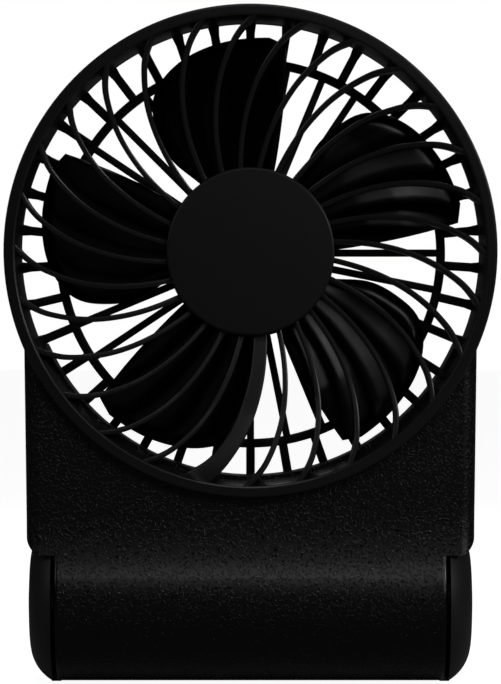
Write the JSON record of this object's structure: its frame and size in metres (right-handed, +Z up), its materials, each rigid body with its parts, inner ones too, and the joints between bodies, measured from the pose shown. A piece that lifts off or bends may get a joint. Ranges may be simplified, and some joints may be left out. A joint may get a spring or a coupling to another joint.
{
  "type": "desk fan",
  "caption": "Folding desk fan: round caged head on a flat panel, round hinge barrel holding the battery, fold-out stand plate with domed end discs.",
  "frame": {"origin": "on the desk, under the middle of the whole fan as it stands opened out", "axes": "+Z up, the fan blows towards -Y, the stand plate reaches back towards +Y, X along the hinge"},
  "size_m": [0.11, 0.0902, 0.1531],
  "materials": {
    "grained_abs": "black ABS with a fine spark-eroded grain, slight sheen",
    "smooth_abs": "black ABS, smooth and satin",
    "hub_abs": "black ABS, smooth and matt",
    "grille_abs": "black ABS, satin",
    "blade_plastic": "black ABS, polished",
    "button_plastic": "black ABS, polished",
    "switch_plastic": "black nylon",
    "motor_base_plastic": "off-white glass-filled nylon",
    "bright_steel": "ground steel",
    "zinc_steel": "zinc-plated steel",
    "black_steel": "black-oxide steel",
    "nickel": "nickel strip",
    "lamination_steel": "stacked electrical steel",
    "enamelled_copper": "enamelled copper wire, massed as brass",
    "ferrite": "sintered ferrite, massed as iron",
    "circuit_board": "green solder mask on glass epoxy",
    "chip_epoxy": "black epoxy and nylon",
    "led_lens": "milky lens",
    "clear_acrylic": "clear acrylic",
    "cell_wrap": "steel can in a blue shrink sleeve, massed as aluminium",
    "nylon": "natural nylon",
    "rubber": "black silicone rubber",
    "lead_pvc": "black PVC insulation over copper strands"
  },
  "bodies": {
    "stand": {"stand_frame": "smooth_abs", "stand_cover": "smooth_abs", "stand_screws": "zinc_steel", "ballast_plate": "zinc_steel", "foot_pads": "rubber", "hinge_pins": "zinc_steel", "friction_washers": "nylon", "spring_washers": "zinc_steel", "hinge_nuts": "zinc_steel", "left_hinge_cap": "smooth_abs", "right_hinge_cap": "smooth_abs"},
    "fan_body": {"front_shell": "grained_abs", "rear_shell": "grained_abs", "front_guard": "smooth_abs", "hub_cap": "hub_abs", "rear_grille": "grille_abs", "bearing_tube": "motor_base_plastic", "motor_bearings": "bright_steel", "motor_screws": "zinc_steel", "motor_board": "circuit_board", "stator_core": "lamination_steel", "stator_coils": "enamelled_copper", "battery_cell": "cell_wrap", "battery_tabs": "nickel", "main_board": "circuit_board", "board_screws": "zinc_steel", "board_chips": "chip_epoxy", "status_leds": "led_lens", "light_pipe": "clear_acrylic", "usb_c_socket": "bright_steel", "tact_switch": "switch_plastic", "shell_screws": "black_steel", "motor_lead": "lead_pvc", "battery_leads": "lead_pvc"},
    "rotor": {"impeller": "blade_plastic", "rotor_cup": "zinc_steel", "rotor_magnet": "ferrite", "motor_shaft": "bright_steel", "shaft_clip": "bright_steel"},
    "button": {"power_button": "button_plastic", "switch_plunger": "switch_plastic"}
  },
  "joints": [
    {"name": "tilt", "type": "hinge", "parent": "stand", "child": "fan_body", "pos_m": [0, -0.0269, 0.019], "axis": [1, 0, 0], "range_deg": [-90, 0]},
    {"name": "fan_spin", "type": "hinge", "parent": "fan_body", "child": "rotor", "pos_m": [0, -0.0269, 0.0981], "axis": [0, 1, 0], "continuous": true},
    {"name": "power_press", "type": "slide", "parent": "fan_body", "child": "button", "axis": [0, -1, 0], "range_m": [0, 0.0005], "stiffness_N_per_m": 1200, "springref_m": -0.0005}
  ]
}
